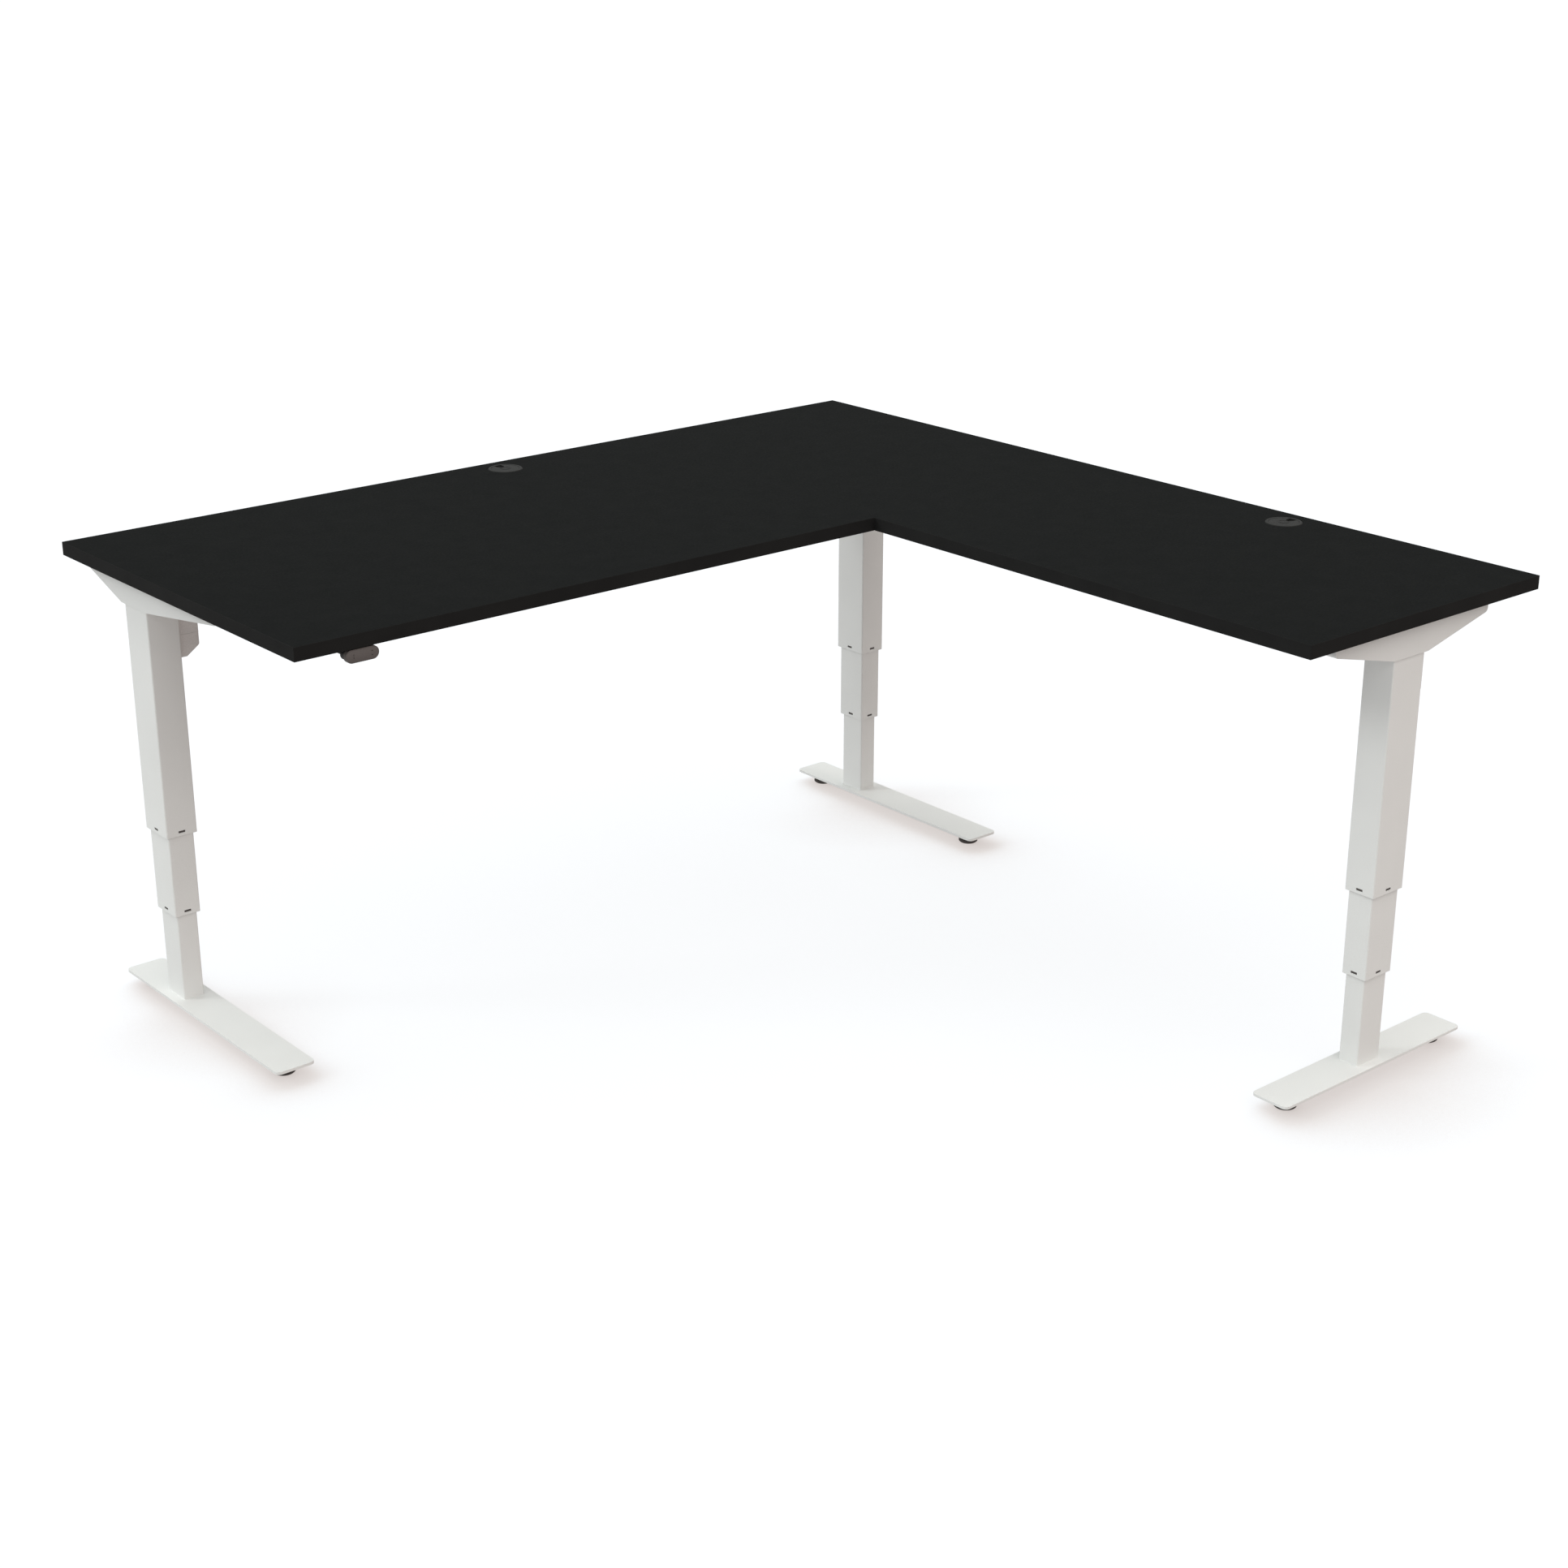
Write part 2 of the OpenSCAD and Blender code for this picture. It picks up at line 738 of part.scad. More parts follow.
module gear_case(shift = [0, 0]) {
    difference() {
        translate([0, 0, case_low]) case_shape(0, case_h, shift);
        translate([0, 0, case_low + case_wall]) case_shape(case_wall, case_h - 2 * case_wall, shift);
        translate([0, 0, case_low - cut]) cylinder(r = spindle_r + running_gap, h = case_wall + 2 * cut);
        translate([motor_at[0] + shift[0], motor_at[1] + shift[1], case_low - cut])
            cylinder(r = shaft_r + case_hole_gap, h = case_wall + 2 * cut);
    }
}

module gear_cases() {
    color(steel) {
        at_left() gear_case();
        at_corner() gear_case();
        at_return_drive() gear_case(return_drive_shift);
    }
}

module motor() {
    translate([motor_at[0], motor_at[1], 0]) {
        translate([0, 0, cover_low + motor_up]) cylinder(r = motor_r, h = case_low - cover_low - motor_up);
        translate([0, 0, cover_low + motor_tail_up])
            cylinder(r = motor_tail_r, h = motor_up - motor_tail_up + cut);
        translate([0, 0, case_low - cut]) cylinder(r = shaft_r, h = case_wall + gear_h + 2 * cut, $fn = 32);
        translate([0, 0, case_low + case_wall + cut]) cylinder(r = pinion_r, h = gear_h);
    }
}

// Plan of the cover: square against the column, rounded on its far side
module cover_plan(inset) {
    x0 = tube_d / 2 + slide_gap + inset;
    x1 = cover_x - inset;
    y0 = cover_y[0] + inset;
    y1 = cover_y[1] - inset;
    r = cover_r - inset;
    translate([x0, y0]) square([x1 - r - x0, y1 - y0]);
    translate([x0, y0 + r]) square([x1 - x0, y1 - y0 - 2 * r]);
    for (y = [y0 + r, y1 - r]) translate([x1 - r, y]) circle(r);
}

// Side view of the cover in (X, Z) with its chamfered lower corner
module cover_side(inset) {
    x1 = cover_x - inset;
    low = cover_low + inset;
    polygon([
        [0, low], [cover_chamfer_x - inset / 2, low], [x1 + eps, low + cover_chamfer_z],
        [x1 + eps, board_low], [0, board_low]
    ]);
}

module cover_body(inset, top) {
    intersection() {
        translate([0, 0, cover_low]) linear_extrude(top - cover_low) cover_plan(inset);
        translate([0, cover_y[1] + cut, 0]) rotate([90, 0, 0])
            linear_extrude(cover_y[1] - cover_y[0] + 2 * cut) cover_side(inset);
    }
}

module motor_cover() {
    top = board_low - bracket_sheet - 0.5;
    difference() {
        cover_body(0, top);
        cover_body(cover_wall, top + cut);
        // way in for the gear case
        translate([0, case_nose_y[0] - web_gap / 2, case_low - web_gap / 2]) cube([
            cover_chamfer_x,
            case_nose_y[1] - case_nose_y[0] + web_gap,
            case_h + 2 * web_gap
        ]);
    }
}

// Solid inner screw with its driven wheel in the gear case
module spindle() {
    gear_low = case_low + case_wall + cut / 2;
    translate([0, 0, spindle_low + tip_h]) cylinder(r = spindle_r, h = gear_low - spindle_low - tip_h + cut);
    translate([0, 0, spindle_low]) cylinder(r1 = tip_r, r2 = spindle_r, h = tip_h + eps);
    translate([0, 0, gear_low]) cylinder(r = gear_r, h = gear_h);
    translate([0, 0, gear_low]) cylinder(r = gear_hub_r, h = gear_h + gear_hub_h);
}

// Hollow outer screw; its collar turns on the mid tube's cap
module spindle_tube() {
    tube_h = mid_tube_top - screw_tube_low;
    difference() {
        union() {
            translate([0, 0, screw_tube_low]) cylinder(r = screw_tube_r, h = tube_h + cut);
            translate([0, 0, mid_tube_top + slide_gap]) cylinder(r = screw_collar_r, h = collar_h);
        }
        translate([0, 0, screw_tube_low - cut]) cylinder(r = spindle_r + bore_gap, h = tube_h - neck_h);
        translate([0, 0, screw_tube_low]) cylinder(r = spindle_r + running_gap, h = tube_h + 2 * collar_h);
    }
}

// Nut in the top of the low tube
module spindle_nut() {
    size = tube_size(2);
    difference() {
        translate([0, 0, low_tube_top - nut_h]) linear_extrude(nut_h)
            rounded_rect([size[0] - 2 * wall, size[1] - 2 * wall], tube_r - wall);
        translate([0, 0, low_tube_top - nut_h - cut])
            cylinder(r = screw_tube_r + running_gap, h = nut_h + 2 * cut);
    }
}

// ---------- feet ----------
// Flat plate with rounded corners over a narrower channel that holds the glides
module foot(front, rear) {
    mid = (rear - front) / 2;
    len = front + rear;
    plate_low = foot_top - foot_plate_t;
    channel = [channel_w, len - 2 * channel_inset];
    hollow = [channel[0] - 2 * channel_wall, channel[1] - 2 * channel_wall];
    hollow_r = channel_r - channel_wall;
    difference() {
        union() {
            translate([0, mid, plate_low]) linear_extrude(foot_plate_t)
                rounded_rect([foot_w, len], foot_corner_r);
            difference() {
                translate([0, mid, foot_low]) linear_extrude(plate_low - foot_low + eps)
                    rounded_rect(channel, channel_r);
                translate([0, mid, foot_low + channel_wall])
                    linear_extrude(plate_low - foot_low - channel_wall) rounded_rect(hollow, hollow_r);
            }
            for (y = [glide_inset - front, rear - glide_inset]) translate([0, y, foot_low])
                cylinder(r = boss_r, h = plate_low - foot_low + eps, $fn = 48);
        }
        for (y = [glide_inset - front, rear - glide_inset]) translate([0, y, foot_low - cut])
            cylinder(r = stem_r + running_gap, h = stem_top - foot_low + stem_up + stem_room, $fn = 48);
    }
}

module glide(y) {
    color(plastic_black) translate([0, y, 0]) rotate_extrude($fn = 72) polygon([
        [0, 0], [glide_r - glide_bevel, 0], [glide_r, glide_bevel], [glide_r, glide_rim],
        [glide_r - 5, glide_h - 1], [boss_r, glide_h], [stem_r, glide_h], [stem_r, stem_top], [0, stem_top]
    ]);
}

// ---------- the three columns ----------
module left_top_tube() { color(frame_white) at_left() top_tube(); }
module left_mid_tube() { color(frame_white) at_left() mid_tube(); }
module left_low_tube() { color(frame_white) at_left() low_tube(); }
module left_mid_pads() { color(plastic_black) at_left() mid_pads(); }
module left_motor_cover() { color(frame_white) at_left() motor_cover(); }
module left_motor() { color(steel) at_left() motor(); }
module left_spindle() { color(steel) at_left() spindle(); }
module left_spindle_tube() { color(steel) at_left() spindle_tube(); }
module left_nut() { color(brass) at_left() spindle_nut(); }
module left_foot() { color(frame_white) at_left() foot(foot_front, foot_rear); }
module left_front_glide() { at_left() glide(front_glide_y); }
module left_rear_glide() { at_left() glide(rear_glide_y); }

module corner_top_tube() { color(frame_white) at_corner() top_tube(); }
module corner_mid_tube() { color(frame_white) at_corner() mid_tube(); }
module corner_low_tube() { color(frame_white) at_corner() low_tube(); }
module corner_mid_pads() { color(plastic_black) at_corner() mid_pads(); }
module corner_motor_cover() { color(frame_white) at_corner() motor_cover(); }
module corner_motor() { color(steel) at_corner() motor(); }
module corner_spindle() { color(steel) at_corner() spindle(); }
module corner_spindle_tube() { color(steel) at_corner() spindle_tube(); }
module corner_nut() { color(brass) at_corner() spindle_nut(); }
module corner_foot() { color(frame_white) at_corner() foot(foot_front, foot_rear); }
module corner_front_glide() { at_corner() glide(front_glide_y); }
module corner_rear_glide() { at_corner() glide(rear_glide_y); }

module return_top_tube() { color(frame_white) at_return() top_tube(); }
module return_mid_tube() { color(frame_white) at_return() mid_tube(); }
module return_low_tube() { color(frame_white) at_return() low_tube(); }
module return_mid_pads() { color(plastic_black) at_return() mid_pads(); }
module return_motor_cover() {
    color(frame_white) at_return_drive() translate(return_drive_shift) motor_cover();
}
module return_motor() { color(steel) at_return_drive() translate(return_drive_shift) motor(); }
module return_spindle() { color(steel) at_return() spindle(); }
module return_spindle_tube() { color(steel) at_return() spindle_tube(); }
module return_nut() { color(brass) at_return() spindle_nut(); }
module return_foot() { color(frame_white) at_return() foot(foot_half, foot_half); }
module return_inner_glide() { at_return() glide(half_glide_y); }
module return_outer_glide() { at_return() glide(-half_glide_y); }

worktop();
edge_band();
main_grommet_sleeve();
return_grommet_sleeve();
main_grommet_lid();
return_grommet_lid();
left_bracket();
corner_bracket();
return_bracket();
main_rails();
return_rails();
rail_joint_plate();
frame_bolts();
worktop_screws();
control_box();
control_box_cover();
control_board();
control_sockets();
handset_housing();
handset_paddle();
handset_pin();
gear_cases();
upper_guide_pads();
left_top_tube();
left_mid_tube();
left_low_tube();
left_mid_pads();
left_motor_cover();
left_motor();
left_spindle();
left_spindle_tube();
left_nut();
left_foot();
left_front_glide();
left_rear_glide();
corner_top_tube();
corner_mid_tube();
corner_low_tube();
corner_mid_pads();
corner_motor_cover();
corner_motor();
corner_spindle();
corner_spindle_tube();
corner_nut();
corner_foot();
corner_front_glide();
corner_rear_glide();
return_top_tube();
return_mid_tube();
return_low_tube();
return_mid_pads();
return_motor_cover();
return_motor();
return_spindle();
return_spindle_tube();
return_nut();
return_foot();
return_inner_glide();
return_outer_glide();
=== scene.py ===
"""Looks of an L-shaped height adjustable desk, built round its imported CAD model, in metres."""

import json
from math import cos, hypot, pi, radians, sin

import bmesh
import bpy
from mathutils import Matrix, Vector

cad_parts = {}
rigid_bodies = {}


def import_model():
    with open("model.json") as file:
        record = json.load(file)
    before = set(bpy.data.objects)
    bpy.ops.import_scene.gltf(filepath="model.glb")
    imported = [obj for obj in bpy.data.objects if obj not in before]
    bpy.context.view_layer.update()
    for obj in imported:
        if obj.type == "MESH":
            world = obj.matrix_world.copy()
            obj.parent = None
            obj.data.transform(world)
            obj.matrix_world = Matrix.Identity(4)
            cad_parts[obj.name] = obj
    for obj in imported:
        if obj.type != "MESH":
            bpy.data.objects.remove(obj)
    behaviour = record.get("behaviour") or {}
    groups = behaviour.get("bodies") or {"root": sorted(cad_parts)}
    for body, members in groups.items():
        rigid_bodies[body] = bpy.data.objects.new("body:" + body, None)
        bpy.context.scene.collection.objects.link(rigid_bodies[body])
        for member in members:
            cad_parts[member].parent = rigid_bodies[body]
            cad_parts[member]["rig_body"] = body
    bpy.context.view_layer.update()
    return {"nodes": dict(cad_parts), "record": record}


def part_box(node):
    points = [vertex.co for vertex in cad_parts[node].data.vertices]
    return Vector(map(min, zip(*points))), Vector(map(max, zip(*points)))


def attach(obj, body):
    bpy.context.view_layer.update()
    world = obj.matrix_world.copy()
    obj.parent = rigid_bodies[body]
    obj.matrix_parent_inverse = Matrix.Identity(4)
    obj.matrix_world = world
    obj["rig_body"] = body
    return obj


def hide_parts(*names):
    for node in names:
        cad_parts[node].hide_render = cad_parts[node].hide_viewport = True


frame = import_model()

SLOT_OF = {s["node"]: s["material_slot"] for s in frame["record"]["subparts"]}
BODY_OF = {name: o["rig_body"] for name, o in frame["nodes"].items()}

# Points nearer than this are one point, faces nearer to level than FLAT are one face, and an edge
# steeper than SHARP stays an edge
WELD = 1e-5
FLAT = radians(1)
SHARP = radians(35)

# How wide the edges of each material slot's nodes are rounded, and of the nodes that differ
BEVEL = {
    "laminate": 0.00015,
    "edge": 0.0004,
    "grommet": 0.0004,
    "white_steel": 0.0006,
    "cover_plastic": 0.0016,
    "pad_plastic": 0.0004,
    "black_plastic": 0.0010,
    "handset_face": 0.0012,
    "circuit_board": 0.0002,
    "socket_plastic": 0.0004,
    "steel": 0.0004,
    "cast_metal": 0.0012,
    "motor_metal": 0.0010,
    "nut_metal": 0.0005,
}
NODE_BEVEL = {
    "left_bracket": 0.0011,
    "corner_bracket": 0.0011,
    "return_bracket": 0.0011,
    "left_foot": 0.0010,
    "corner_foot": 0.0010,
    "return_foot": 0.0010,
}


# ---------- materials ----------
def add(tree, kind, inputs=None, **settings):
    """A shader node with its settings and its inputs, which are values or other nodes' sockets."""
    made = tree.nodes.new("ShaderNode" + kind)
    for name, value in settings.items():
        setattr(made, name, value)
    for name, value in (inputs or {}).items():
        if isinstance(value, bpy.types.NodeSocket):
            tree.links.new(value, made.inputs[name])
        else:
            made.inputs[name].default_value = value
    return made


def ramp(tree, factor, stops):
    """The colour that a ramp of (place, colour) stops gives a factor."""
    made = add(tree, "ValToRGB", {"Fac": factor})
    elements = made.color_ramp.elements
    for i, (place, colour) in enumerate(stops):
        element = elements[i] if i < 2 else elements.new(place)
        element.position = place
        element.color = (*colour, 1)
    return made.outputs["Color"]


def spread(tree, value, low, high):
    """Maps a noise's middle range onto low to high."""
    inputs = {"Value": value, "From Min": 0.3, "From Max": 0.7, "To Min": low, "To Max": high}
    return add(tree, "MapRange", inputs).outputs["Result"]


def noise(tree, where, scale, detail=3.0, roughness=0.5):
    inputs = {"Vector": where, "Scale": scale, "Detail": detail, "Roughness": roughness}
    return add(tree, "TexNoise", inputs).outputs["Fac"]


def blend(tree, kind, a, b, share=1.0):
    """Two colours mixed by a blend type such as MULTIPLY."""
    made = add(tree, "MixRGB", {"Fac": share, "Color1": a, "Color2": b}, blend_type=kind)
    return made.outputs["Color"]


def surface(name, metallic=0.0, specular=0.5, coat=0.0):
    """A new material with its node tree, its shader and object coordinates."""
    material = bpy.data.materials.new(name)
    material.use_nodes = True
    tree = material.node_tree
    shader = tree.nodes["Principled BSDF"]
    shader.inputs["Metallic"].default_value = metallic
    shader.inputs["Specular IOR Level"].default_value = specular
    shader.inputs["Coat Weight"].default_value = coat
    where = add(tree, "TexCoord").outputs["Object"]
    return material, tree, shader, where


def finish_surface(tree, shader, colour, roughness, height, strength, distance):
    """Joins colour, roughness and bump height to the shader."""
    bump = add(tree, "Bump", {"Height": height, "Strength": strength, "Distance": distance})
    tree.links.new(colour, shader.inputs["Base Color"])
    tree.links.new(roughness, shader.inputs["Roughness"])
    tree.links.new(bump.outputs["Normal"], shader.inputs["Normal"])


def laminate():
    """Near-black melamine face: soft mottling, fine grain and pores pressed into it."""
    material, tree, shader, where = surface("laminate_finish", specular=0.02)
    mottle = noise(tree, where, 26, 5, 0.62)
    grain = noise(tree, where, 240, 4, 0.7)
    pores = add(tree, "TexVoronoi", {"Vector": where, "Scale": 620}).outputs["Distance"]
    tone = ramp(tree, mottle, [(0.30, (0.0086, 0.0094, 0.0094)), (0.72, (0.0108, 0.0115, 0.0115))])
    fine = ramp(tree, grain, [(0.25, (0.78, 0.78, 0.78)), (0.75, (1.0, 1.0, 1.0))])
    pits = ramp(tree, pores, [(0.08, (0.55, 0.55, 0.55)), (0.22, (1.0, 1.0, 1.0))])
    colour = blend(tree, "MULTIPLY", blend(tree, "MULTIPLY", tone, fine), pits, 0.5)
    height = blend(tree, "MULTIPLY", fine, pits)
    finish_surface(tree, shader, colour, spread(tree, grain, 0.62, 0.80), height, 0.35, 0.0002)
    return material


def moulded(name, dark, light, rough, grain=900, bump=0.25, specular=0.35, coat=0.0):
    """Moulded plastic: spark-eroded grain and a slow drift in tone."""
    material, tree, shader, where = surface(name, specular=specular, coat=coat)
    drift = noise(tree, where, 14, 3)
    sparks = add(tree, "TexVoronoi", {"Vector": where, "Scale": grain}).outputs["Distance"]
    fine = noise(tree, where, grain * 0.7, 3, 0.6)
    tone = ramp(tree, drift, [(0.3, dark), (0.7, light)])
    speck = ramp(tree, fine, [(0.3, (0.90, 0.90, 0.90)), (0.7, (1.0, 1.0, 1.0))])
    colour = blend(tree, "MULTIPLY", tone, speck)
    finish_surface(tree, shader, colour, spread(tree, fine, *rough), sparks, bump, 0.0001)
    return material


def powder_coat(name, dark, light):
    """White powder coat: orange peel, fine speckle and faint drift in tone."""
    material, tree, shader, where = surface(name, specular=0.35)
    drift = noise(tree, where, 7, 2)
    peel = noise(tree, where, 520, 2, 0.55)
    speckle = noise(tree, where, 1500, 4, 0.7)
    tone = ramp(tree, drift, [(0.3, dark), (0.7, light)])
    dots = ramp(tree, speckle, [(0.32, (0.90, 0.90, 0.89)), (0.46, (1.0, 1.0, 1.0))])
    colour = blend(tree, "MULTIPLY", tone, dots)
    height = blend(tree, "ADD", peel, speckle, 0.35)
    finish_surface(tree, shader, colour, spread(tree, peel, 0.42, 0.56), height, 0.30, 0.00012)
    return material


def machined(name, dark, light, rough):
    """Turned or drawn metal: long scratches along one axis, with stained patches."""
    material, tree, shader, where = surface(name, metallic=1.0)
    drawn = add(tree, "Mapping", {"Vector": where, "Scale": (900, 900, 40)}).outputs["Vector"]
    lines = noise(tree, drawn, 1.0, 5, 0.7)
    stains = noise(tree, where, 60, 4)
    tone = ramp(tree, stains, [(0.3, dark), (0.7, light)])
    streaks = ramp(tree, lines, [(0.3, (0.80, 0.80, 0.80)), (0.7, (1.0, 1.0, 1.0))])
    colour = blend(tree, "MULTIPLY", tone, streaks)
    finish_surface(tree, shader, colour, spread(tree, lines, *rough), lines, 0.2, 0.00008)
    return material


def cast_metal():
    """Die-cast alloy: pebbled skin with darker hollows."""
    material, tree, shader, where = surface("cast_metal_finish", metallic=0.85)
    pebbles = noise(tree, where, 420, 4, 0.65)
    pools = noise(tree, where, 45, 3)
    tone = ramp(tree, pools, [(0.3, (0.40, 0.40, 0.41)), (0.7, (0.52, 0.52, 0.53))])
    hollows = ramp(tree, pebbles, [(0.3, (0.70, 0.70, 0.70)), (0.6, (1.0, 1.0, 1.0))])
    colour = blend(tree, "MULTIPLY", tone, hollows)
    finish_surface(tree, shader, colour, spread(tree, pebbles, 0.45, 0.65), pebbles, 0.5, 0.0003)
    return material


def circuit_board():
    """Green solder mask over faint copper tracks."""
    material, tree, shader, where = surface("circuit_board_finish", specular=0.5, coat=0.2)
    tracks = add(tree, "TexBrick", {"Vector": where, "Scale": 90, "Mortar Size": 0.06}).outputs["Fac"]
    tone = ramp(tree, tracks, [(0.0, (0.016, 0.10, 0.045)), (1.0, (0.03, 0.16, 0.07))])
    weave = noise(tree, where, 700, 3)
    fine = ramp(tree, weave, [(0.3, (0.8, 0.8, 0.8)), (0.7, (1.0, 1.0, 1.0))])
    colour = blend(tree, "MULTIPLY", tone, fine)
    finish_surface(tree, shader, colour, spread(tree, weave, 0.28, 0.42), weave, 0.2, 0.0001)
    return material


def edge_banding():
    """Black edge strip, a shade lighter than the laminate."""
    dark, light = (0.0135, 0.0135, 0.0135), (0.0170, 0.0170, 0.0168)
    return moulded("edge_finish", dark, light, (0.55, 0.70), specular=0.05)


def grommet_plastic():
    """Matt dark grey moulding of the cable grommets."""
    dark, light = (0.021, 0.021, 0.0205), (0.026, 0.026, 0.0255)
    return moulded("grommet_finish", dark, light, (0.42, 0.58), 700, specular=0.07)


def cover_plastic():
    """Warm white moulding of the motor covers."""
    dark, light = (0.79, 0.76, 0.745), (0.83, 0.80, 0.785)
    return moulded("cover_plastic_finish", dark, light, (0.45, 0.60), 600, 0.2, 0.3)


def pad_plastic():
    """Fine-grained grey plastic of the columns' guide pads."""
    dark, light = (0.085, 0.075, 0.072), (0.110, 0.100, 0.095)
    return moulded("pad_plastic_finish", dark, light, (0.50, 0.65), 1200)


def glide_plastic():
    """Warm dark plastic of the levelling glides."""
    dark, light = (0.050, 0.042, 0.040), (0.066, 0.056, 0.053)
    return moulded("glide_plastic_finish", dark, light, (0.45, 0.60))


def black_plastic():
    """Black housing plastic of the control box and the handset."""
    dark, light = (0.018, 0.017, 0.017), (0.024, 0.023, 0.023)
    return moulded("black_plastic_finish", dark, light, (0.45, 0.60), 800)


def handset_film():
    """Fine satin key film on the handset."""
    dark, light = (0.128, 0.113, 0.109), (0.144, 0.128, 0.124)
    return moulded("handset_face_finish", dark, light, (0.40, 0.55), 1500, 0.12, 0.2)


def socket_plastic():
    """Cream plastic of the plug sockets."""
    dark, light = (0.52, 0.52, 0.48), (0.58, 0.58, 0.54)
    return moulded("socket_plastic_finish", dark, light, (0.35, 0.50))


def motor_paint():
    """Black paint of the motors' cans."""
    dark, light = (0.016, 0.016, 0.018), (0.026, 0.026, 0.028)
    return moulded("motor_metal_finish", dark, light, (0.30, 0.45), 500)


MATERIALS = {
    "laminate": laminate(),
    "edge": edge_banding(),
    "grommet": grommet_plastic(),
    "white_steel": powder_coat("white_steel_finish", (0.84, 0.845, 0.835), (0.87, 0.875, 0.865)),
    "cover_plastic": cover_plastic(),
    "pad_plastic": pad_plastic(),
    "glide_plastic": glide_plastic(),
    "black_plastic": black_plastic(),
    "handset_face": handset_film(),
    "circuit_board": circuit_board(),
    "socket_plastic": socket_plastic(),
    "steel": machined("steel_finish", (0.46, 0.47, 0.49), (0.58, 0.59, 0.61), (0.25, 0.42)),
    "cast_metal": cast_metal(),
    "motor_metal": motor_paint(),
    "nut_metal": machined("nut_metal_finish", (0.48, 0.34, 0.12), (0.62, 0.46, 0.18), (0.25, 0.4)),
}


# ---------- mesh building ----------
def shade(bm):
    """Smooth faces with sharp edges where two faces meet steeply."""
    for face in bm.faces:
        face.smooth = True
    for edge in bm.edges:
        edge.smooth = len(edge.link_faces) == 2 and edge.calc_face_angle(0) < SHARP


def placed(name, data):
    """An object of some mesh, lamp or camera, in the scene."""
    made = bpy.data.objects.new(name, data)
    bpy.context.scene.collection.objects.link(made)
    return made


def solid(bm, name, material):
    """An object of bm in one material; bm is used up."""
    mesh = bpy.data.meshes.new(name)
    bm.to_mesh(mesh)
    bm.free()
    mesh.materials.append(material)
    return placed(name, mesh)


def piece(bm, name, slot, body, replaced=()):
    """Makes an object of bm that wears its slot's material and rides on its body."""
    shade(bm)
    made = solid(bm, name, MATERIALS[slot])
    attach(made, body)
    if replaced:
        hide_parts(*replaced)
    return made


def bevel(made, width, segments=2):
    """Rounds the piece's steep edges."""
    rounding = made.modifiers.new("edges", "BEVEL")
    rounding.width = width
    rounding.segments = segments
    rounding.limit_method = "ANGLE"
    rounding.angle_limit = SHARP
    rounding.harden_normals = True


def refined(node):
    """Stands for a CAD node: its own shape with clean faces and rounded edges."""
    bm = bmesh.new()
    bm.from_mesh(frame["nodes"][node].data)
    bmesh.ops.remove_doubles(bm, verts=bm.verts, dist=WELD)
    bmesh.ops.dissolve_limit(bm, angle_limit=FLAT, verts=bm.verts, edges=bm.edges)
    slot = SLOT_OF[node]
    made = piece(bm, node + "_piece", slot, BODY_OF[node], [node])
    bevel(made, NODE_BEVEL.get(node, BEVEL[slot]))


def skin(bm, loops, place=None, closed=False):
    """Joins loops of equally many points with faces, and caps the ends unless they are closed."""
    place = place or Matrix()
    rings = [[bm.verts.new(place @ Vector(p)) for p in loop] for loop in loops]
    pairs = list(zip(rings, rings[1:]))
    if closed:
        pairs.append((rings[-1], rings[0]))
    else:
        bm.faces.new(reversed(rings[0]))
        bm.faces.new(rings[-1])
    for low, high in pairs:
        for i in range(len(low)):
            j = (i + 1) % len(low)
            bm.faces.new((low[i], low[j], high[j], high[i]))


def swept(bm, path, section_at, place):
    """Runs a closed section round a level path; section_at(i) gives its points, outwards and up."""
    loops = []
    for i, (x, y, _) in enumerate(path):
        before, after = Vector(path[i - 1]), Vector(path[(i + 1) % len(path)])
        out = (after - before).cross(Vector((0, 0, 1))).normalized()
        loops.append([(x + out.x * d, y + out.y * d, h) for d, h in section_at(i)])
    skin(bm, loops, place, closed=True)
    bmesh.ops.recalc_face_normals(bm, faces=bm.faces)


def circle(radius, z, steps=32, ripple=None):
    """A ring of points about Z; ripple(angle) scales its radius."""
    ring = []
    for i in range(steps):
        a = 2 * pi * i / steps
        r = radius * (ripple(a) if ripple else 1)
        ring.append((r * cos(a), r * sin(a), z))
    return ring


def hexagon(a):
    """Scales a circle's radius to a hexagon across its corners."""
    return cos(pi / 6) / cos((a % (pi / 3)) - pi / 6)


def stadium(length, width, z, steps=10):
    """A loop of points round a bar with round ends, along X."""
    r, half = width / 2, (length - width) / 2
    turns = [pi * i / steps - pi / 2 for i in range(steps + 1)]
    right = [(half + r * cos(a), r * sin(a), z) for a in turns]
    left = [(-x, -y, z) for x, y, z in right]
    return right + left


def rounded(half_x, half_y, r, z, steps=6, straight=1):
    """A loop of points round a rectangle with round corners, with extra points on its sides."""
    loop = []
    for k, (sx, sy) in enumerate(((1, -1), (1, 1), (-1, 1), (-1, -1))):
        cx, cy = sx * (half_x - r), sy * (half_y - r)
        for i in range(steps + 1):
            a = (k - 1) * pi / 2 + (pi / 2) * i / steps
            loop.append((cx + r * cos(a), cy + r * sin(a), z))
    if straight == 1:
        return loop
    dense = []
    for a, b in zip(loop, loop[1:] + loop[:1]):
        count = straight if hypot(b[0] - a[0], b[1] - a[1]) > 2 * r else 1
        dense += [tuple(a[k] + (b[k] - a[k]) * i / count for k in range(3)) for i in range(count)]
    return dense


def pill(bm, length, width, height, place, soft=0.3):
    """A raised bar with round ends and softened upper edges."""
    soft *= height
    skin(
        bm,
        [
            stadium(length, width, 0),
            stadium(length, width, height - soft),
            stadium(length - 2 * soft, width - 2 * soft, height),
        ],
        place,
    )


def middle(node):
    low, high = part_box(node)
    return (low + high) / 2


